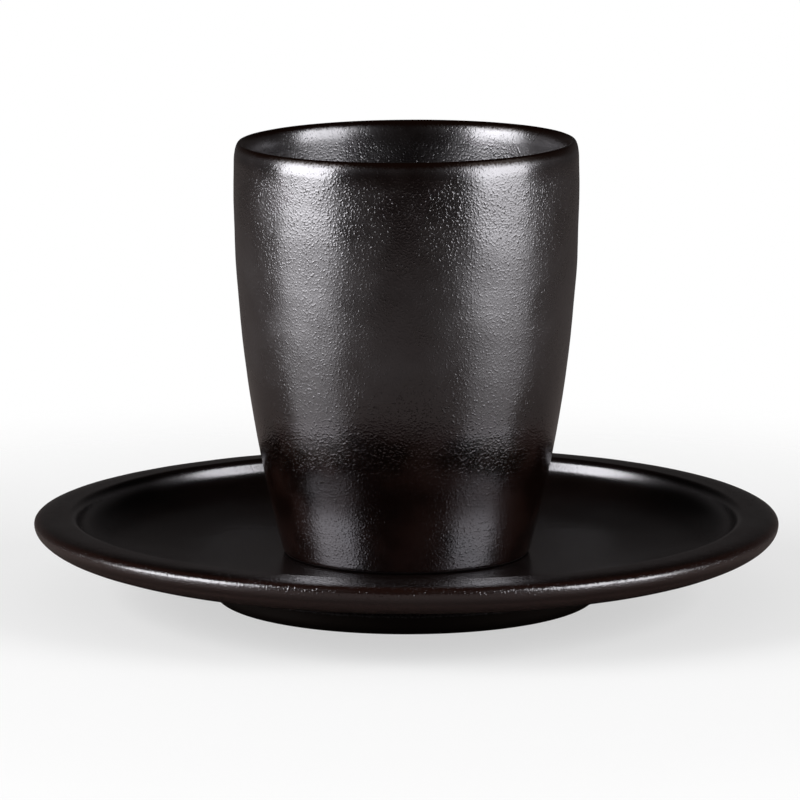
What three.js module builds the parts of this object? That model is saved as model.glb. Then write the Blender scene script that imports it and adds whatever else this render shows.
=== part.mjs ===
// A handleless teacup standing in the well of its saucer, both turned in dark glazed stoneware.
// Millimetres, +Z up. The origin is on the table under the middle of the saucer.
import * as THREE from "three";

// Cup, with heights measured from the bottom of its foot
const CUP_HEIGHT = 83.4;
const CUP_DIAMETER = 69.2;
const CUP_WIDEST_HEIGHT = 74;
const CUP_FOOT_DIAMETER = 49.4;
const CUP_LIP_WALL = 2.8;
const CUP_BASE_WALL = 5.2;
const CUP_INSIDE_LEAN = 4.3;
const CUP_FLOOR = 5;
const CUP_FLOOR_FILLET = 8;
const CUP_LIP_INSET = 1.05;
const CUP_LIP_OUTER_DROP = 3.8;
const CUP_LIP_INNER_DROP = 4.2;
const CUP_FOOT_ROUNDING = 1;
const CUP_FOOT_RING_WIDTH = 4;
const CUP_FOOT_RECESS = 1.6;
const CUP_RECESS_FILLET = 1.2;

// Saucer, with heights measured from the table
const SAUCER_DIAMETER = 150;
const SAUCER_FOOT_DIAMETER = 78.2;
const SAUCER_FOOT_HEIGHT = 4.67;
const SAUCER_FOOT_WIDTH = 5.4;
const SAUCER_FOOT_OUTER_ROUNDING = 2.2;
const SAUCER_FOOT_INNER_ROUNDING = 0.8;
const SAUCER_FOOT_FILLET = 1.4;
const SAUCER_FLOOR = 4.73;
const SAUCER_WELL_DEPTH = 7.95;
const SAUCER_WELL_SWEEP = 4.5;
const SAUCER_DISH_WIDTH = 21.7;
const SAUCER_DISH_SLOPE = 8;
const SAUCER_DISH_SWEEP = 6;
const SAUCER_UNDER_SLOPE = 11.3;

// Saucer's rim: a nearly flat crown, a sharp outer edge and a long rounding under it
const RIM_CROWN_INSET = 4.85;
const RIM_CROWN_WIDTH = 2;
const RIM_CROWN_DROP = 1.6;
const RIM_UNDER_WIDTH = 19.8;
const RIM_WALL_LEAN = 15;
const RIM_WALL_ROUNDING = 1.5;
const RIM_WALL_SWEEP = 2.3;

// Facets round a full turn, and steps along the curves of an outline
const TURN_FACETS = 72;
const LONG_CURVE_STEPS = 8;
const SHORT_CURVE_STEPS = 5;
const EDGE_STEPS = 3;

const QUARTER_TURN = Math.PI / 2;
const SAME_POINT = 1e-6;

function point(radius, height) {
  return new THREE.Vector2(radius, height);
}

// Points of a stretch of an ellipse between two angles, counted from the outward direction
function ellipseStretch(centre, radiusAcross, radiusUp, from, to, steps) {
  const clockwise = to < from;
  const curve = new THREE.EllipseCurve(centre.x, centre.y, radiusAcross, radiusUp, from, to, clockwise);
  return curve.getPoints(steps);
}

// Points of a bend that leaves start towards the corner and meets end coming from it
function roundedCorner(start, corner, end, steps) {
  return new THREE.QuadraticBezierCurve(start, corner, end).getPoints(steps);
}

// A solid of revolution about +Z from an outline that runs up its outside and down its inside
function turnedPiece(name, outline, material) {
  const points = outline.filter((p, i) => i === 0 || p.distanceTo(outline[i - 1]) > SAME_POINT);
  const geometry = new THREE.LatheGeometry(points, TURN_FACETS);
  geometry.rotateX(QUARTER_TURN);
  const mesh = new THREE.Mesh(geometry, material);
  mesh.name = name;
  return mesh;
}

function riseOf(degrees) {
  return Math.tan(THREE.MathUtils.degToRad(degrees));
}

// The cup's side is one arc, upright at its widest and drawn in to the foot.
function cupOutline() {
  const wideRadius = CUP_DIAMETER / 2;
  const footRadius = CUP_FOOT_DIAMETER / 2;
  const drawnIn = wideRadius - footRadius;
  const sideRadius = (CUP_WIDEST_HEIGHT ** 2 + drawnIn ** 2) / (2 * drawnIn);
  const sideCentre = point(wideRadius - sideRadius, CUP_WIDEST_HEIGHT);
  const sideAngle = (height) => Math.asin((height - sideCentre.y) / sideRadius);
  const pointOnSide = (height) => point(sideCentre.x + sideRadius * Math.cos(sideAngle(height)), height);

  // Foot: a recessed underside inside a flat ring with a rounded outer edge
  const ringOutside = footRadius - CUP_FOOT_ROUNDING;
  const ringInside = ringOutside - CUP_FOOT_RING_WIDTH;
  const recess = roundedCorner(
    point(ringInside - CUP_RECESS_FILLET, CUP_FOOT_RECESS),
    point(ringInside, CUP_FOOT_RECESS),
    point(ringInside, 0),
    EDGE_STEPS,
  );
  const footEdge = roundedCorner(
    point(ringOutside, 0),
    point(footRadius, 0),
    pointOnSide(CUP_FOOT_ROUNDING),
    EDGE_STEPS,
  );

  // Outside: the side's arc from the foot's edge up to the lip
  const outerLipHeight = CUP_HEIGHT - CUP_LIP_OUTER_DROP;
  const side = ellipseStretch(
    sideCentre,
    sideRadius,
    sideRadius,
    sideAngle(CUP_FOOT_ROUNDING),
    sideAngle(outerLipHeight),
    LONG_CURVE_STEPS,
  );

  // Inside: a wall that thickens from the lip down, and a fillet that runs it into the floor
  const insideRise = riseOf(CUP_INSIDE_LEAN);
  const innerLipHeight = CUP_HEIGHT - CUP_LIP_INNER_DROP;
  const insideTop = pointOnSide(innerLipHeight).sub(point(CUP_LIP_WALL, 0));
  const insideLow = pointOnSide(CUP_FLOOR + CUP_FLOOR_FILLET).sub(point(CUP_BASE_WALL, 0));
  const pointOnLean = (height) => point(insideTop.x - (insideTop.y - height) * insideRise, height);
  const insideBend = pointOnLean((insideTop.y + insideLow.y) / 2);
  const inside = roundedCorner(insideTop, insideBend, insideLow, LONG_CURVE_STEPS);
  const lowRise = (insideBend.x - insideLow.x) / (insideBend.y - insideLow.y);
  const floorCorner = point(insideLow.x - CUP_FLOOR_FILLET * lowRise, CUP_FLOOR);
  const fillet = roundedCorner(
    insideLow,
    floorCorner,
    point(floorCorner.x - CUP_FLOOR_FILLET, CUP_FLOOR),
    SHORT_CURVE_STEPS,
  );

  // Lip: an outer and an inner rounding that meet at the crest
  const crest = point(pointOnSide(outerLipHeight).x - CUP_LIP_INSET, CUP_HEIGHT);
  const outerLip = ellipseStretch(
    point(crest.x, outerLipHeight),
    CUP_LIP_INSET,
    CUP_LIP_OUTER_DROP,
    0,
    QUARTER_TURN,
    SHORT_CURVE_STEPS,
  );
  const innerLip = roundedCorner(crest, pointOnLean(CUP_HEIGHT), insideTop, SHORT_CURVE_STEPS);

  return [
    point(0, CUP_FOOT_RECESS),
    ...recess,
    ...footEdge,
    ...side,
    ...outerLip,
    ...innerLip,
    ...inside,
    ...fillet,
    point(0, CUP_FLOOR),
  ];
}

const wellHeight = SAUCER_FOOT_HEIGHT + SAUCER_FLOOR;
const saucerHeight = wellHeight + SAUCER_WELL_DEPTH;

// The saucer rises from a flat well as a shallow cone, then turns up into a rolled rim.
function saucerOutline() {
  const rimRadius = SAUCER_DIAMETER / 2;
  const edgeHeight = saucerHeight - RIM_CROWN_DROP;
  const underRise = riseOf(SAUCER_UNDER_SLOPE);
  const dishRise = riseOf(SAUCER_DISH_SLOPE);
  const wallRise = riseOf(RIM_WALL_LEAN);

  // Foot ring, with its bottom edges rounded and its top filleted into the underside
  const footOutside = SAUCER_FOOT_DIAMETER / 2;
  const footInside = footOutside - SAUCER_FOOT_WIDTH;
  const footInnerFillet = roundedCorner(
    point(footInside - SAUCER_FOOT_FILLET, SAUCER_FOOT_HEIGHT),
    point(footInside, SAUCER_FOOT_HEIGHT),
    point(footInside, SAUCER_FOOT_HEIGHT - SAUCER_FOOT_FILLET),
    EDGE_STEPS,
  );
  const footInnerEdge = roundedCorner(
    point(footInside, SAUCER_FOOT_INNER_ROUNDING),
    point(footInside, 0),
    point(footInside + SAUCER_FOOT_INNER_ROUNDING, 0),
    EDGE_STEPS,
  );
  const footOuterEdge = ellipseStretch(
    point(footOutside - SAUCER_FOOT_OUTER_ROUNDING, SAUCER_FOOT_OUTER_ROUNDING),
    SAUCER_FOOT_OUTER_ROUNDING,
    SAUCER_FOOT_OUTER_ROUNDING,
    -QUARTER_TURN,
    0,
    EDGE_STEPS,
  );
  const footOuterFillet = roundedCorner(
    point(footOutside, SAUCER_FOOT_HEIGHT - SAUCER_FOOT_FILLET),
    point(footOutside, SAUCER_FOOT_HEIGHT),
    point(footOutside + SAUCER_FOOT_FILLET, SAUCER_FOOT_HEIGHT + SAUCER_FOOT_FILLET * underRise),
    EDGE_STEPS,
  );

  // Underside: a cone from the top of the foot, touching an ellipse that ends upright at the rim's edge
  const underCentre = point(rimRadius - RIM_UNDER_WIDTH, edgeHeight);
  const coneAtCentre = SAUCER_FOOT_HEIGHT + (underCentre.x - footOutside) * underRise;
  const touchReach = RIM_UNDER_WIDTH * underRise;
  const underDrop = Math.sqrt((edgeHeight - coneAtCentre) ** 2 - touchReach ** 2);
  const touchAngle = -Math.atan2(underDrop, touchReach);
  const rimUnder = ellipseStretch(underCentre, RIM_UNDER_WIDTH, underDrop, touchAngle, 0, LONG_CURVE_STEPS);

  // Rim's top: from the sharp outer edge over the crown to the inner edge
  const crownInside = rimRadius - RIM_CROWN_INSET - RIM_CROWN_WIDTH;
  const wallTop = crownInside - RIM_WALL_ROUNDING;
  const pointOnWall = (height) => point(wallTop - (saucerHeight - height) * wallRise, height);
  const wallStart = pointOnWall(saucerHeight - RIM_WALL_ROUNDING);
  const rimTop = ellipseStretch(
    point(rimRadius - RIM_CROWN_INSET, edgeHeight),
    RIM_CROWN_INSET,
    RIM_CROWN_DROP,
    0,
    QUARTER_TURN,
    SHORT_CURVE_STEPS,
  );
  const rimInnerEdge = roundedCorner(
    point(crownInside, saucerHeight),
    point(wallTop, saucerHeight),
    wallStart,
    EDGE_STEPS,
  );

  // Inside: the leaning wall sweeps into the dish, which falls to the flat well
  const dishCorner = pointOnWall(wellHeight + SAUCER_DISH_WIDTH * dishRise);
  const wellRadius = dishCorner.x - SAUCER_DISH_WIDTH;
  const pointOnDish = (radius) => point(radius, wellHeight + (radius - wellRadius) * dishRise);
  const wallSweep = Math.min(RIM_WALL_SWEEP, wallStart.y - dishCorner.y);
  const dishSweep = roundedCorner(
    pointOnWall(dishCorner.y + wallSweep),
    dishCorner,
    pointOnDish(dishCorner.x - SAUCER_DISH_SWEEP),
    LONG_CURVE_STEPS,
  );
  const wellSweep = roundedCorner(
    pointOnDish(wellRadius + SAUCER_WELL_SWEEP),
    point(wellRadius, wellHeight),
    point(wellRadius - SAUCER_WELL_SWEEP, wellHeight),
    EDGE_STEPS,
  );

  return [
    point(0, SAUCER_FOOT_HEIGHT),
    ...footInnerFillet,
    ...footInnerEdge,
    ...footOuterEdge,
    ...footOuterFillet,
    ...rimUnder,
    ...rimTop,
    ...rimInnerEdge,
    ...dishSweep,
    ...wellSweep,
    point(0, wellHeight),
  ];
}

const cupGlaze = new THREE.MeshStandardMaterial({ color: 0x3a3432, roughness: 0.42, metalness: 0.55 });
const saucerGlaze = new THREE.MeshStandardMaterial({ color: 0x231c1a, roughness: 0.45, metalness: 0.35 });

const cup = turnedPiece("cup", cupOutline(), cupGlaze);
cup.position.z = wellHeight;
const saucer = turnedPiece("saucer", saucerOutline(), saucerGlaze);

const teacupAndSaucer = new THREE.Group();
teacupAndSaucer.add(saucer, cup);

export default teacupAndSaucer;
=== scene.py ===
# A handleless teacup standing in its saucer, both in dark metallic glaze over red-brown stoneware.
# Metres, +Z up, the table at height 0 and the shared turning axis of both pieces at the origin.
import math

import bpy
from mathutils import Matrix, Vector, noise


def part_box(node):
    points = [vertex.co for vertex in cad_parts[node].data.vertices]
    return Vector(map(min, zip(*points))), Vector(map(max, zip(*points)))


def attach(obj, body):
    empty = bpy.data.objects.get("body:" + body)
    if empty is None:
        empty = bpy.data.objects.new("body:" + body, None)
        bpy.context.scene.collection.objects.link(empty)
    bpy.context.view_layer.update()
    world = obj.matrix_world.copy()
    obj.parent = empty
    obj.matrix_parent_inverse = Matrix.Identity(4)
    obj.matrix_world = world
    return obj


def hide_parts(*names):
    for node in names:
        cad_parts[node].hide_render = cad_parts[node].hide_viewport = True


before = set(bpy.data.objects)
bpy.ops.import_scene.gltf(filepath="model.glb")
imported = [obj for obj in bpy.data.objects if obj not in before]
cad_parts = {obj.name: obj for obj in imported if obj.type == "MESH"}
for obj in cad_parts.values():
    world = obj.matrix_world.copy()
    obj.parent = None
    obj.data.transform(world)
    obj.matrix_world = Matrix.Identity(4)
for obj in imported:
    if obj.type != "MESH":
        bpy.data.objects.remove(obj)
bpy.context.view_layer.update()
MM = 0.001

# Cup: main sizes from the frame, heights measured from the bottom of its foot
CUP_LOW, CUP_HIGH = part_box("cup")
CUP_SEAT = CUP_LOW.z
CUP_CREST = CUP_HIGH.z
CUP_HEIGHT = CUP_CREST - CUP_SEAT
CUP_RADIUS = CUP_HIGH.x
CUP_WIDEST_HEIGHT = 74 * MM
CUP_FOOT_RADIUS = 24.7 * MM
CUP_LIP_WALL = 2.8 * MM
CUP_BASE_WALL = 5.2 * MM
CUP_INSIDE_RISE = math.tan(math.radians(4.3))
CUP_FLOOR = 5 * MM
CUP_FLOOR_FILLET = 8 * MM
CUP_LIP_INSET = 1.05 * MM
CUP_LIP_OUTER_DROP = 3.8 * MM
CUP_LIP_INNER_DROP = 4.2 * MM
CUP_FOOT_ROUNDING = 1 * MM
CUP_FOOT_RING_WIDTH = 4 * MM
CUP_FOOT_RECESS = 1.6 * MM
CUP_RECESS_FILLET = 1.2 * MM

# Saucer: main sizes from the frame, heights measured from the table
SAUCER_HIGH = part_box("saucer")[1]
SAUCER_RADIUS = SAUCER_HIGH.x
SAUCER_HEIGHT = SAUCER_HIGH.z
SAUCER_WELL_HEIGHT = CUP_SEAT
SAUCER_FOOT_RADIUS = 39.1 * MM
SAUCER_FOOT_HEIGHT = 4.67 * MM
SAUCER_FOOT_WIDTH = 5.4 * MM
SAUCER_FOOT_OUTER_ROUNDING = 2.2 * MM
SAUCER_FOOT_INNER_ROUNDING = 0.8 * MM
SAUCER_FOOT_FILLET = 1.4 * MM
SAUCER_WELL_SWEEP = 4.5 * MM
SAUCER_DISH_WIDTH = 21.7 * MM
SAUCER_DISH_RISE = math.tan(math.radians(8))
SAUCER_DISH_SWEEP = 6 * MM
SAUCER_UNDER_RISE = math.tan(math.radians(11.3))
RIM_CROWN_INSET = 4.85 * MM
RIM_CROWN_WIDTH = 2 * MM
RIM_CROWN_DROP = 1.6 * MM
RIM_UNDER_WIDTH = 19.8 * MM
RIM_WALL_RISE = math.tan(math.radians(15))
RIM_WALL_ROUNDING = 1.5 * MM
RIM_EDGE_HEIGHT = SAUCER_HEIGHT - RIM_CROWN_DROP

# Mesh fineness: segments round a turn, points along a curve, and the longest step along an outline
TURN_SEGMENTS = 256
CURVE_STEPS = 20
LONGEST_STEP = 0.8 * MM
SAME_POINT = 1e-7

# What firing does to the turned shapes: uneven walls, a lip a little aslant, a rim warped up and down
UNEVENNESS_SIZE = 8 * MM
UNEVENNESS_ONSET = 3
CUP_UNEVENNESS = 0.1 * MM
CUP_LIP_SLANT = 0.0075
SAUCER_UNEVENNESS = 0.04 * MM
SAUCER_WARP = 0.28 * MM

# Glaze colours, linear
BROWN_BLACK = (0.0024, 0.0007, 0.0003, 1)
RED_BROWN = (0.0038, 0.0013, 0.0007, 1)
LOW_BROWN = (0.0085, 0.0024, 0.0012, 1)
THIN_BROWN = (0.03, 0.0165, 0.0145, 1)
# The bare clay is kept this dark partly as painted shade on the saucer's foot ring
BARE_CLAY = (0.003, 0.0016, 0.0012, 1)
GLAZE_SHEEN = (0.96, 0.945, 1, 1)
DULL_SHEEN = (0.04, 0.03, 0.025, 1)

# Glaze relief: fine grain with sharper peaks, over low pebbles
GRAIN_SIZE = 0.42 * MM
GRAIN_DETAIL = 0.8
GRAIN_MEAN = 0.5
PEAK_START = 0.53
PEAK_FULL = 0.85
PEAK_SHARE = 1.4
PEBBLE_SIZE = 1.5 * MM
PEBBLE_SHARE = 0.35

# Slow clouds in the colour and the roughness of both glazes, and how far the grain frays an edge
CLOUD_DETAIL = 3
CLOUD_LOW = 0.3
CLOUD_BROWN_START = 0.35
CLOUD_HIGH = 0.7
RAGGED_REACH = 0.8 * MM
BARE_DULLING = 0.5

# Cup's glaze: zones by height above its foot, with the relief's strength and the roughness in each
CUP_LOW_HEIGHT = 28 * MM
CUP_MIDDLE_START = 46 * MM
CUP_MIDDLE_END = 55 * MM
CUP_TOP_HEIGHT = 75 * MM
CUP_RELIEF = 0.052 * MM
CUP_LOW_STRENGTH = 0.42
CUP_MIDDLE_STRENGTH = 0.4
CUP_TOP_STRENGTH = 0.72
CUP_LOW_ROUGHNESS = 0.18
CUP_MIDDLE_ROUGHNESS = 0.31
CUP_TOP_ROUGHNESS = 0.25
CUP_GLAZE_IOR = 2.2
CUP_CLOUD_SIZE = 11 * MM
CUP_CLOUD_ROUGHNESS = 0.05

# Cup's glaze: brown low part, bare foot, calmer lip with a thin edge, and duller inside
CUP_BROWN_FULL = 24 * MM
CUP_BROWN_END = 34 * MM
CUP_BARE_FULL = 0.15 * MM
CUP_BARE_END = 0.5 * MM
CUP_CALM_START = 7 * MM
CUP_CALM_FULL = 2.5 * MM
CUP_CALM_STRENGTH = 0.4
CUP_CALM_POLISH = -0.06
CUP_THIN_START = 1.7 * MM
CUP_THIN_FULL = 0.6 * MM
CUP_INSIDE_START = 0.9 * MM
CUP_INSIDE_FULL = 1.5 * MM
CUP_INSIDE_DULLING = 0.07

# Saucer's glaze: distances of its zones from the rim's edge, and heights on the foot ring
SAUCER_RELIEF = 0.035 * MM
SAUCER_INNER_STRENGTH = 0.2
SAUCER_INNER_END = 8 * MM
SAUCER_GRAINY_START = 4 * MM
SAUCER_ROUGHNESS = 0.23
SAUCER_GLAZE_IOR = 2.0
SAUCER_CLOUD_SIZE = 13 * MM
SAUCER_CLOUD_ROUGHNESS = 0.02
RIM_THIN_START = 1.6 * MM
RIM_THIN_FULL = 0.7 * MM
RIM_BROWN_START = 9 * MM
RIM_BROWN_FULL = 6 * MM
RIM_BROWN_FADE = 0.4 * MM
# Foot ring heights where the glaze is bare, dark and dull, which also paints the shade under the rim
SAUCER_BARE_SHADE_FULL = 3.6 * MM
SAUCER_BARE_SHADE_END = 4.4 * MM

# Camera, solved from the outlines of the cup and the saucer
CAMERA_PLACE = (-1.29 * MM, -1200 * MM, 248.53 * MM)
CAMERA_PITCH = math.radians(9.847)
CAMERA_LENS = 272.48

# Softboxes: turned round the axis from the camera's side, each with its width and radiance
SOFTBOX_DISTANCE = 0.9
SOFTBOX_HEIGHT = 0.78
SOFTBOX_RIGHT = math.radians(65.5)
SOFTBOX_RIGHT_WIDTH = 0.66
SOFTBOX_RIGHT_RADIANCE = 6.3
SOFTBOX_LEFT = math.radians(-71)
SOFTBOX_LEFT_WIDTH = 0.68
SOFTBOX_LEFT_RADIANCE = 8.0

# Floor and world: white where they are seen, a dim fill on matt surfaces
WHITE = (1, 1, 1, 1)
WHITE_STRENGTH = 1.0
FILL_LIGHT = 0.25
FLOOR_RADIUS = 0.3
FLOOR_FADE_START = 0.13
FLOOR_FADE_END = 0.24
FLOOR_COLOUR = (0.41, 0.41, 0.41, 1)
FLOOR_LIFT = 0.55

# Dark tent: its glow at the height of the table, which fades upwards and towards the camera
TENT_RADIUS = 1.4
TENT_SEGMENTS = 48
TENT_RINGS = 24
TENT_COLOUR = (1, 0.93, 0.92, 1)
TENT_GLOW = 0.076
TENT_DARK = 0.004
TENT_GLOW_TOP = 0.75
TENT_FRONT = -0.6
TENT_BACK = 0.4
TENT_FRONT_SHARE = 0.1

# Dark table: matt with painted shade near the saucer, then pale and polished, and darker far away and
# in front
TABLE_RADIUS = 1.0
TABLE_SEGMENTS = 64
TABLE_HEIGHT = 0.1 * MM
TABLE_DARK = (0.026, 0.0215, 0.019, 1)
TABLE_PALE = (0.22, 0.19, 0.178, 1)
TABLE_ROUGHNESS = 0.14
TABLE_MATT_RADIUS = 0.075
TABLE_POLISH_RADIUS = 0.1
TABLE_POLISH = 0.1
TABLE_SHADE_RADIUS = 0.062
TABLE_LIT_RADIUS = 0.095
TABLE_PALE_REACH = 0.2
TABLE_DARK_REACH = 0.95
TABLE_BACKWARD = 0.6
TABLE_FRONT = -0.15
TABLE_MIDDLE = -0.05
TABLE_FRONT_SHARE = 0.8


def ellipse_stretch(centre, across, up, start, end):
    """Points of an ellipse between two angles, counted from the outward direction."""
    angles = [start + (end - start) * i / CURVE_STEPS for i in range(CURVE_STEPS + 1)]
    return [(centre[0] + across * math.cos(a), centre[1] + up * math.sin(a)) for a in angles]


def rounded_corner(start, corner, end):
    """Points of a bend that leaves start towards the corner and meets end coming from it."""
    points = []
    for i in range(CURVE_STEPS + 1):
        t = i / CURVE_STEPS
        weights = ((1 - t) ** 2, 2 * t * (1 - t), t ** 2)
        sides = zip(start, corner, end)
        points.append(tuple(sum(w * p for w, p in zip(weights, side)) for side in sides))
    return points


def evenly_stepped(outline):
    """The outline without doubled points, and with long straight stretches divided."""
    stepped = [outline[0]]
    for point in outline[1:]:
        last = stepped[-1]
        gap = math.dist(last, point)
        if gap < SAME_POINT:
            continue
        count = math.ceil(gap / LONGEST_STEP)
        for i in range(1, count + 1):
            share = i / count
            stepped.append(tuple(a + (b - a) * share for a, b in zip(last, point)))
    return stepped


def cup_outline():
    """The cup's half section, from the axis under its foot, up its outside and down its inside."""
    drawn_in = CUP_RADIUS - CUP_FOOT_RADIUS
    side = (CUP_WIDEST_HEIGHT ** 2 + drawn_in ** 2) / (2 * drawn_in)
    centre = (CUP_RADIUS - side, CUP_WIDEST_HEIGHT)

    def side_angle(height):
        return math.asin((height - centre[1]) / side)

    def side_radius(height):
        return centre[0] + side * math.cos(side_angle(height))

    ring_outside = CUP_FOOT_RADIUS - CUP_FOOT_ROUNDING
    ring_inside = ring_outside - CUP_FOOT_RING_WIDTH
    recess = rounded_corner(
        (ring_inside - CUP_RECESS_FILLET, CUP_FOOT_RECESS),
        (ring_inside, CUP_FOOT_RECESS),
        (ring_inside, 0),
    )
    foot_edge = rounded_corner(
        (ring_outside, 0),
        (CUP_FOOT_RADIUS, 0),
        (side_radius(CUP_FOOT_ROUNDING), CUP_FOOT_ROUNDING),
    )

    outer_lip_height = CUP_HEIGHT - CUP_LIP_OUTER_DROP
    outside = ellipse_stretch(
        centre, side, side, side_angle(CUP_FOOT_ROUNDING), side_angle(outer_lip_height)
    )

    top_height = CUP_HEIGHT - CUP_LIP_INNER_DROP
    low_height = CUP_FLOOR + CUP_FLOOR_FILLET
    inside_top = (side_radius(top_height) - CUP_LIP_WALL, top_height)
    inside_low = (side_radius(low_height) - CUP_BASE_WALL, low_height)

    def point_on_lean(height):
        return (inside_top[0] - (top_height - height) * CUP_INSIDE_RISE, height)

    inside_bend = point_on_lean((top_height + low_height) / 2)
    inside = rounded_corner(inside_top, inside_bend, inside_low)
    low_rise = (inside_bend[0] - inside_low[0]) / (inside_bend[1] - inside_low[1])
    floor_corner = (inside_low[0] - CUP_FLOOR_FILLET * low_rise, CUP_FLOOR)
    floor_edge = (floor_corner[0] - CUP_FLOOR_FILLET, CUP_FLOOR)
    fillet = rounded_corner(inside_low, floor_corner, floor_edge)

    crest = (side_radius(outer_lip_height) - CUP_LIP_INSET, CUP_HEIGHT)
    outer_lip = ellipse_stretch(
        (crest[0], outer_lip_height), CUP_LIP_INSET, CUP_LIP_OUTER_DROP, 0, math.pi / 2
    )
    inner_lip = rounded_corner(crest, point_on_lean(CUP_HEIGHT), inside_top)
    outline = [
        (0, CUP_FOOT_RECESS),
        *recess,
        *foot_edge,
        *outside,
        *outer_lip,
        *inner_lip,
        *inside,
        *fillet,
        (0, CUP_FLOOR),
    ]
    return [(radius, CUP_SEAT + height) for radius, height in outline]


def saucer_outline():
    """The saucer's half section, from the axis under its foot, round its rim and over the well."""
    foot_inside = SAUCER_FOOT_RADIUS - SAUCER_FOOT_WIDTH
    foot_inner_fillet = rounded_corner(
        (foot_inside - SAUCER_FOOT_FILLET, SAUCER_FOOT_HEIGHT),
        (foot_inside, SAUCER_FOOT_HEIGHT),
        (foot_inside, SAUCER_FOOT_HEIGHT - SAUCER_FOOT_FILLET),
    )
    foot_inner_edge = rounded_corner(
        (foot_inside, SAUCER_FOOT_INNER_ROUNDING),
        (foot_inside, 0),
        (foot_inside + SAUCER_FOOT_INNER_ROUNDING, 0),
    )
    foot_outer_edge = ellipse_stretch(
        (SAUCER_FOOT_RADIUS - SAUCER_FOOT_OUTER_ROUNDING, SAUCER_FOOT_OUTER_ROUNDING),
        SAUCER_FOOT_OUTER_ROUNDING,
        SAUCER_FOOT_OUTER_ROUNDING,
        -math.pi / 2,
        0,
    )

    def point_on_cone(radius):
        return (radius, SAUCER_FOOT_HEIGHT + (radius - SAUCER_FOOT_RADIUS) * SAUCER_UNDER_RISE)

    foot_outer_fillet = rounded_corner(
        (SAUCER_FOOT_RADIUS, SAUCER_FOOT_HEIGHT - SAUCER_FOOT_FILLET),
        (SAUCER_FOOT_RADIUS, SAUCER_FOOT_HEIGHT),
        point_on_cone(SAUCER_FOOT_RADIUS + SAUCER_FOOT_FILLET),
    )

    # The rim's underside is an ellipse that touches the cone, with its axis at the rim's edge
    under_centre = (SAUCER_RADIUS - RIM_UNDER_WIDTH, RIM_EDGE_HEIGHT)
    cone_depth = RIM_EDGE_HEIGHT - point_on_cone(under_centre[0])[1]
    touch_reach = RIM_UNDER_WIDTH * SAUCER_UNDER_RISE
    under_drop = math.sqrt(cone_depth ** 2 - touch_reach ** 2)
    touch_angle = -math.atan2(under_drop, touch_reach)
    rim_under = ellipse_stretch(under_centre, RIM_UNDER_WIDTH, under_drop, touch_angle, 0)

    crown_outside = SAUCER_RADIUS - RIM_CROWN_INSET
    crown_inside = crown_outside - RIM_CROWN_WIDTH
    wall_top = crown_inside - RIM_WALL_ROUNDING

    def point_on_wall(height):
        return (wall_top - (SAUCER_HEIGHT - height) * RIM_WALL_RISE, height)

    rim_top = rounded_corner(
        (SAUCER_RADIUS, RIM_EDGE_HEIGHT),
        (SAUCER_RADIUS, SAUCER_HEIGHT),
        (crown_outside, SAUCER_HEIGHT),
    )
    wall_start = point_on_wall(SAUCER_HEIGHT - RIM_WALL_ROUNDING)
    rim_inner_edge = rounded_corner(
        (crown_inside, SAUCER_HEIGHT), (wall_top, SAUCER_HEIGHT), wall_start
    )

    dish_corner = point_on_wall(SAUCER_WELL_HEIGHT + SAUCER_DISH_WIDTH * SAUCER_DISH_RISE)
    well_radius = dish_corner[0] - SAUCER_DISH_WIDTH

    def point_on_dish(radius):
        return (radius, SAUCER_WELL_HEIGHT + (radius - well_radius) * SAUCER_DISH_RISE)

    dish_sweep = rounded_corner(
        wall_start, dish_corner, point_on_dish(dish_corner[0] - SAUCER_DISH_SWEEP)
    )
    well_sweep = rounded_corner(
        point_on_dish(well_radius + SAUCER_WELL_SWEEP),
        (well_radius, SAUCER_WELL_HEIGHT),
        (well_radius - SAUCER_WELL_SWEEP, SAUCER_WELL_HEIGHT),
    )
    return [
        (0, SAUCER_FOOT_HEIGHT),
        *foot_inner_fillet,
        *foot_inner_edge,
        *foot_outer_edge,
        *foot_outer_fillet,
        *rim_under,
        *rim_top,
        *rim_inner_edge,
        *dish_sweep,
        *well_sweep,
        (0, SAUCER_WELL_HEIGHT),
    ]


def link(thing):
    """Puts an object into the scene."""
    bpy.context.scene.collection.objects.link(thing)
    return thing


def unevenness(point, share):
    """Slow swells of a hand-finished surface, about -1 to 1, that set in as the share grows from 0."""
    return min(1, UNEVENNESS_ONSET * share) * noise.noise(Vector(point) / UNEVENNESS_SIZE)


def fired_cup(point):
    """Where a point of the turned cup ends up after firing. The foot stays true."""
    x, y, z = point
    share = ((z - CUP_SEAT) / CUP_HEIGHT) ** 2
    swell = 1 + CUP_UNEVENNESS / CUP_RADIUS * unevenness(point, share)
    return (x * swell, y * swell, z + CUP_LIP_SLANT * x * share)


def fired_saucer(point):
    """Where a point of the turned saucer ends up after firing. Foot and well stay true."""
    x, y, z = point
    square = x * x + y * y
    foot_square = SAUCER_FOOT_RADIUS ** 2
    if square < foot_square:
        return point
    share = (square - foot_square) / (SAUCER_RADIUS ** 2 - foot_square)
    sine_of_double_turn = 2 * x * y / square
    warp = SAUCER_WARP * share * sine_of_double_turn
    return (x, y, z + warp + SAUCER_UNEVENNESS * unevenness(point, share))


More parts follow.
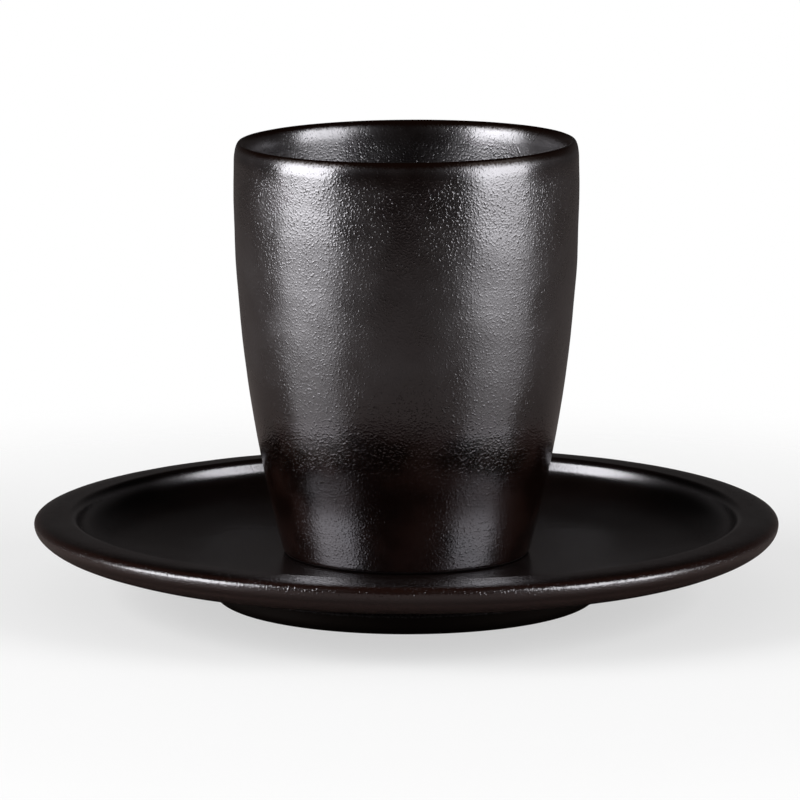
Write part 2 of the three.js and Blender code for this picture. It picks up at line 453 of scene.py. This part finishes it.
def turned_piece(name, outline, fired, material):
    """A closed solid of revolution about +Z, with one point on the axis at each end of its outline."""
    first, *rings, last = evenly_stepped(outline)
    turn = [2 * math.pi * i / TURN_SEGMENTS for i in range(TURN_SEGMENTS)]
    points = [fired((r * math.cos(a), r * math.sin(a), z)) for r, z in rings for a in turn]
    start = len(points)
    end = start + 1
    points += [(0, 0, first[1]), (0, 0, last[1])]

    faces = []
    top = (len(rings) - 1) * TURN_SEGMENTS
    for i in range(TURN_SEGMENTS):
        j = (i + 1) % TURN_SEGMENTS
        for low in range(0, top, TURN_SEGMENTS):
            high = low + TURN_SEGMENTS
            faces.append((low + i, low + j, high + j, high + i))
        faces.append((start, j, i))
        faces.append((end, top + i, top + j))

    mesh = bpy.data.meshes.new(name)
    mesh.from_pydata(points, [], faces)
    mesh.polygons.foreach_set("use_smooth", [True] * len(mesh.polygons))
    mesh.materials.append(material)
    mesh.update()
    return link(bpy.data.objects.new(name, mesh))


class Shader:
    """One material's or world's node tree, with short ways to add and join its nodes."""

    def __init__(self, owner):
        owner.use_nodes = True
        self.tree = owner.node_tree
        self.tree.nodes.clear()

    def feed(self, socket, value):
        """Joins a socket to another node's output, or sets its constant."""
        if isinstance(value, bpy.types.NodeSocket):
            self.tree.links.new(value, socket)
        else:
            socket.default_value = value

    def add(self, kind, sockets=None, **settings):
        node = self.tree.nodes.new("ShaderNode" + kind)
        for name, value in settings.items():
            setattr(node, name, value)
        for name, value in (sockets or {}).items():
            self.feed(node.inputs[name], value)
        return node

    def math(self, operation, first, second):
        return self.add("Math", {0: first, 1: second}, operation=operation).outputs[0]

    def total(self, first, *others):
        for other in others:
            first = self.math("ADD", first, other)
        return first

    def noise(self, place, size, detail=0.0):
        sockets = {"Vector": place, "Scale": 1 / size, "Detail": detail}
        return self.add("TexNoise", sockets).outputs[0]

    def ramp(self, value, start, end, low=0.0, high=1.0):
        """A smooth change from low to high while the value goes from start to end."""
        sockets = {"Value": value, "From Min": start, "From Max": end, "To Min": low, "To Max": high}
        return self.add("MapRange", sockets, interpolation_type="SMOOTHSTEP").outputs[0]

    def mix(self, share, first, second):
        """The first colour, turning into the second as the share goes from 0 to 1."""
        node = self.add("Mix", data_type="RGBA")
        inputs = {socket.name: socket for socket in node.inputs if socket.enabled}
        self.feed(inputs["Factor"], share)
        self.feed(inputs["A"], first)
        self.feed(inputs["B"], second)
        return next(socket for socket in node.outputs if socket.enabled)

    def place(self):
        """Coordinates that ride with the piece."""
        return self.add("TexCoord").outputs["Object"]

    def along(self, axis, place):
        """One coordinate of a place."""
        return self.add("SeparateXYZ", {0: place}).outputs[axis]

    def radius(self, place):
        """A place's distance from the turning axis."""
        level = self.add("VectorMath", {0: place, 1: (1, 1, 0)}, operation="MULTIPLY").outputs[0]
        return self.add("VectorMath", {0: level}, operation="LENGTH").outputs["Value"]

    def seen(self):
        """1 for rays that show something: from the camera, a gloss or a clear body."""
        path = self.add("LightPath").outputs
        glossy = self.math("MAXIMUM", path["Is Camera Ray"], path["Is Glossy Ray"])
        return self.math("MAXIMUM", glossy, path["Is Transmission Ray"])


def grainy_relief(shader, place):
    """The fine grain by itself, and the glaze's whole relief."""
    grain = shader.noise(place, GRAIN_SIZE, detail=GRAIN_DETAIL)
    pebbles = shader.math("MULTIPLY", shader.noise(place, PEBBLE_SIZE), PEBBLE_SHARE)
    peaks = shader.ramp(grain, PEAK_START, PEAK_FULL, 0, PEAK_SHARE)
    return grain, shader.total(grain, peaks, pebbles)


def frayed(shader, distance, grain):
    """The distance shifted by the grain, so that what it limits ends in a ragged line."""
    shift = shader.math("MULTIPLY", shader.math("SUBTRACT", grain, GRAIN_MEAN), RAGGED_REACH)
    return shader.math("ADD", distance, shift)


def glazed_surface(shader, colour, roughness, ior, dull, bump):
    """The glaze itself, whose sheen is lost where it is dull."""
    surface = shader.add("BsdfPrincipled", {
        "Base Color": colour,
        "Roughness": roughness,
        "IOR": ior,
        "Specular Tint": shader.mix(dull, GLAZE_SHEEN, DULL_SHEEN),
        "Normal": bump.outputs[0],
    })
    shader.add("OutputMaterial", {"Surface": surface.outputs[0]})


def cup_glaze():
    """Pebbled gunmetal glaze, brown low down, dull where it thins on the lip, bare under the foot."""
    material = bpy.data.materials.new("cup_glaze")
    shader = Shader(material)
    place = shader.place()
    height = shader.along("Z", place)
    radius = shader.radius(place)
    grain, relief = grainy_relief(shader, place)

    above_low = shader.ramp(height, CUP_SEAT + CUP_LOW_HEIGHT, CUP_SEAT + CUP_MIDDLE_START)
    above_middle = shader.ramp(height, CUP_SEAT + CUP_MIDDLE_END, CUP_SEAT + CUP_TOP_HEIGHT)
    low_part = shader.ramp(height, CUP_SEAT + CUP_BROWN_END, CUP_SEAT + CUP_BROWN_FULL)
    bare_and_shaded_foot = shader.ramp(height, CUP_SEAT + CUP_BARE_END, CUP_SEAT + CUP_BARE_FULL)
    near_lip = shader.ramp(height, CUP_CREST - CUP_CALM_START, CUP_CREST - CUP_CALM_FULL)
    ragged_height = frayed(shader, height, grain)
    thin_lip = shader.ramp(ragged_height, CUP_CREST - CUP_THIN_START, CUP_CREST - CUP_THIN_FULL)

    # The inside is what lies deep enough behind the straight line from the foot to the widest height
    chord_rise = (CUP_RADIUS - CUP_FOOT_RADIUS) / CUP_WIDEST_HEIGHT
    chord = shader.math("MULTIPLY", shader.math("SUBTRACT", height, CUP_SEAT), chord_rise)
    depth = shader.math("SUBTRACT", shader.math("ADD", chord, CUP_FOOT_RADIUS), radius)
    inside = shader.ramp(depth, CUP_INSIDE_START, CUP_INSIDE_FULL)

    def by_height(low, middle, top):
        rise = shader.math("MULTIPLY", above_middle, top - middle)
        return shader.math("ADD", shader.ramp(above_low, 0, 1, low, middle), rise)

    pebbled = by_height(CUP_LOW_STRENGTH, CUP_MIDDLE_STRENGTH, CUP_TOP_STRENGTH)
    calm = shader.ramp(near_lip, 0, 1, 1, CUP_CALM_STRENGTH)
    strength = shader.math("MULTIPLY", pebbled, calm)
    bump = shader.add("Bump", {"Strength": strength, "Distance": CUP_RELIEF, "Height": relief})

    clouds = shader.noise(place, CUP_CLOUD_SIZE, detail=CLOUD_DETAIL)
    cloudy = shader.ramp(clouds, CLOUD_BROWN_START, CLOUD_HIGH)
    glaze = shader.mix(cloudy, BROWN_BLACK, RED_BROWN)
    glaze = shader.mix(shader.math("MULTIPLY", cloudy, low_part), glaze, LOW_BROWN)
    glaze = shader.mix(thin_lip, glaze, RED_BROWN)
    colour = shader.mix(bare_and_shaded_foot, glaze, BARE_CLAY)
    roughness = shader.total(
        by_height(CUP_LOW_ROUGHNESS, CUP_MIDDLE_ROUGHNESS, CUP_TOP_ROUGHNESS),
        shader.ramp(clouds, CLOUD_LOW, CLOUD_HIGH, -CUP_CLOUD_ROUGHNESS, CUP_CLOUD_ROUGHNESS),
        shader.math("MULTIPLY", near_lip, CUP_CALM_POLISH),
        shader.math("MULTIPLY", inside, CUP_INSIDE_DULLING),
        shader.math("MULTIPLY", bare_and_shaded_foot, BARE_DULLING),
    )
    dull = shader.math("MAXIMUM", thin_lip, bare_and_shaded_foot)
    glazed_surface(shader, colour, roughness, CUP_GLAZE_IOR, dull, bump)
    return material


def saucer_glaze():
    """Satin brown-black glaze, finer than the cup's, brown on the rim's edge and underside."""
    material = bpy.data.materials.new("saucer_glaze")
    shader = Shader(material)
    place = shader.place()
    height = shader.along("Z", place)
    radius = shader.radius(place)
    grain, relief = grainy_relief(shader, place)

    def from_edge(distance, start, end, low=0.0, high=1.0):
        return shader.ramp(distance, SAUCER_RADIUS - start, SAUCER_RADIUS - end, low, high)

    strength = from_edge(radius, SAUCER_INNER_END, SAUCER_GRAINY_START, SAUCER_INNER_STRENGTH, 1)
    bump = shader.add("Bump", {"Strength": strength, "Distance": SAUCER_RELIEF, "Height": relief})

    thin_edge = from_edge(frayed(shader, radius, grain), RIM_THIN_START, RIM_THIN_FULL)
    outer = from_edge(radius, RIM_BROWN_START, RIM_BROWN_FULL)
    below = shader.ramp(height, RIM_EDGE_HEIGHT + RIM_BROWN_FADE, RIM_EDGE_HEIGHT - RIM_BROWN_FADE)
    thin_under = shader.math("MULTIPLY", outer, below)
    # Painted shade: the foot ring is bare clay, made dark and dull, and this also stands in for the
    # shade under the rim
    bare_and_shaded_foot = shader.ramp(frayed(shader, height, grain), SAUCER_BARE_SHADE_END, SAUCER_BARE_SHADE_FULL)

    clouds = shader.noise(place, SAUCER_CLOUD_SIZE, detail=CLOUD_DETAIL)
    cloudy = shader.ramp(clouds, CLOUD_BROWN_START, CLOUD_HIGH)
    glaze = shader.mix(cloudy, BROWN_BLACK, RED_BROWN)
    glaze = shader.mix(thin_under, glaze, THIN_BROWN)
    glaze = shader.mix(thin_edge, glaze, LOW_BROWN)
    colour = shader.mix(bare_and_shaded_foot, glaze, BARE_CLAY)
    roughness = shader.total(
        shader.ramp(clouds, CLOUD_LOW, CLOUD_HIGH, -SAUCER_CLOUD_ROUGHNESS, SAUCER_CLOUD_ROUGHNESS),
        SAUCER_ROUGHNESS,
        shader.math("MULTIPLY", bare_and_shaded_foot, BARE_DULLING),
    )
    glazed_surface(shader, colour, roughness, SAUCER_GLAZE_IOR, bare_and_shaded_foot, bump)
    return material


def make_cup():
    piece = turned_piece("glazed_cup", cup_outline(), fired_cup, cup_glaze())
    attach(piece, "cup")
    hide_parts("cup")


def make_saucer():
    piece = turned_piece("glazed_saucer", saucer_outline(), fired_saucer, saucer_glaze())
    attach(piece, "saucer")
    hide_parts("saucer")


def make_camera():
    data = bpy.data.cameras.new("camera")
    data.lens = CAMERA_LENS
    camera = link(bpy.data.objects.new("camera", data))
    camera.location = CAMERA_PLACE
    camera.rotation_euler = (math.pi / 2 - CAMERA_PITCH, 0, 0)
    bpy.context.scene.camera = camera


def make_softbox(name, azimuth, width, radiance):
    """A tall soft panel standing on the floor, facing the axis. Azimuth 0 is the camera's side."""
    data = bpy.data.lights.new(name, "AREA")
    data.shape = "RECTANGLE"
    data.size = width
    data.size_y = SOFTBOX_HEIGHT
    data.energy = radiance * math.pi * width * SOFTBOX_HEIGHT
    softbox = link(bpy.data.objects.new(name, data))
    away = Vector((math.sin(azimuth), -math.cos(azimuth), 0))
    softbox.location = away * SOFTBOX_DISTANCE + Vector((0, 0, SOFTBOX_HEIGHT / 2))
    softbox.rotation_euler = (-away).to_track_quat("-Z", "Y").to_euler()
    softbox.visible_camera = False


def make_floor():
    """A pale table top that fades out into the white background and keeps the shadows."""
    material = bpy.data.materials.new("floor")
    shader = Shader(material)
    lift = shader.math("MULTIPLY", shader.seen(), FLOOR_LIFT)
    matt = shader.add("BsdfDiffuse", {"Color": FLOOR_COLOUR})
    glow = shader.add("Emission", {"Color": WHITE, "Strength": lift})
    pale = shader.add("AddShader", {0: matt.outputs[0], 1: glow.outputs[0]})
    clear = shader.add("BsdfTransparent")
    fade = shader.ramp(shader.radius(shader.place()), FLOOR_FADE_START, FLOOR_FADE_END)
    mixed = shader.add("MixShader", {0: fade, 1: pale.outputs[0], 2: clear.outputs[0]})
    shader.add("OutputMaterial", {"Surface": mixed.outputs[0]})

    mesh = bpy.data.meshes.new("floor")
    sides = ((-1, -1), (1, -1), (1, 1), (-1, 1))
    corners = [(FLOOR_RADIUS * x, FLOOR_RADIUS * y, 0) for x, y in sides]
    mesh.from_pydata(corners, [], [(0, 1, 2, 3)])
    mesh.materials.append(material)
    link(bpy.data.objects.new("floor", mesh))


def show_only_in_gloss(thing):
    """Hides a stage piece from the camera and from matt surfaces, and takes its shadow away."""
    thing.visible_camera = False
    thing.visible_diffuse = False
    thing.visible_shadow = False


def make_tent():
    """A dark studio all round, seen only in the gloss of the glaze."""
    material = bpy.data.materials.new("dark_tent")
    shader = Shader(material)
    place = shader.place()
    share = shader.ramp(shader.along("Y", place), TENT_FRONT, TENT_BACK, TENT_FRONT_SHARE, 1)
    fading = shader.ramp(shader.along("Z", place), 0, TENT_GLOW_TOP, TENT_GLOW, TENT_DARK)
    strength = shader.math("MULTIPLY", fading, share)
    glow = shader.add("Emission", {"Color": TENT_COLOUR, "Strength": strength})
    shader.add("OutputMaterial", {"Surface": glow.outputs[0]})

    bpy.ops.mesh.primitive_uv_sphere_add(
        segments=TENT_SEGMENTS, ring_count=TENT_RINGS, radius=TENT_RADIUS
    )
    tent = bpy.context.object
    tent.name = "dark_tent"
    tent.data.materials.append(material)
    show_only_in_gloss(tent)


def make_dark_table():
    """A dark polished table top, matt and with painted shade under the saucer, seen only in the gloss
    of the glaze.
    """
    material = bpy.data.materials.new("dark_table")
    shader = Shader(material)
    place = shader.place()
    radius = shader.radius(place)
    behind = shader.along("Y", place)
    reach = shader.math("SUBTRACT", radius, shader.math("MULTIPLY", behind, TABLE_BACKWARD))
    # Painted shade: the table's colour turns dark within the shade radius round the saucer
    near = shader.ramp(radius, TABLE_SHADE_RADIUS, TABLE_LIT_RADIUS)
    far = shader.ramp(reach, TABLE_PALE_REACH, TABLE_DARK_REACH, 1, 0)
    share = shader.ramp(behind, TABLE_FRONT, TABLE_MIDDLE, TABLE_FRONT_SHARE, 1)
    paleness = shader.math("MULTIPLY", shader.math("MINIMUM", near, far), share)
    polish = shader.ramp(radius, TABLE_MATT_RADIUS, TABLE_POLISH_RADIUS, 0, TABLE_POLISH)
    surface = shader.add("BsdfPrincipled", {
        "Base Color": shader.mix(paleness, TABLE_DARK, TABLE_PALE),
        "Roughness": TABLE_ROUGHNESS,
        "Specular IOR Level": polish,
    })
    shader.add("OutputMaterial", {"Surface": surface.outputs[0]})

    bpy.ops.mesh.primitive_circle_add(
        vertices=TABLE_SEGMENTS, radius=TABLE_RADIUS, fill_type="NGON"
    )
    table = bpy.context.object
    table.name = "dark_table"
    table.location.z = TABLE_HEIGHT
    table.data.materials.append(material)
    show_only_in_gloss(table)


def make_world():
    """White where it is seen, and a dim fill on matt surfaces."""
    world = bpy.data.worlds.new("studio")
    bpy.context.scene.world = world
    shader = Shader(world)
    fill = shader.add("Background", {"Color": WHITE, "Strength": FILL_LIGHT})
    white = shader.add("Background", {"Color": WHITE, "Strength": WHITE_STRENGTH})
    mixed = shader.add("MixShader", {0: shader.seen(), 1: fill.outputs[0], 2: white.outputs[0]})
    shader.add("OutputWorld", {"Surface": mixed.outputs[0]})


bpy.context.scene.view_settings.view_transform = "Standard"
make_camera()
make_cup()
make_saucer()
make_floor()
make_tent()
make_dark_table()
make_softbox("softbox_right", SOFTBOX_RIGHT, SOFTBOX_RIGHT_WIDTH, SOFTBOX_RIGHT_RADIANCE)
make_softbox("softbox_left", SOFTBOX_LEFT, SOFTBOX_LEFT_WIDTH, SOFTBOX_LEFT_RADIANCE)
make_world()
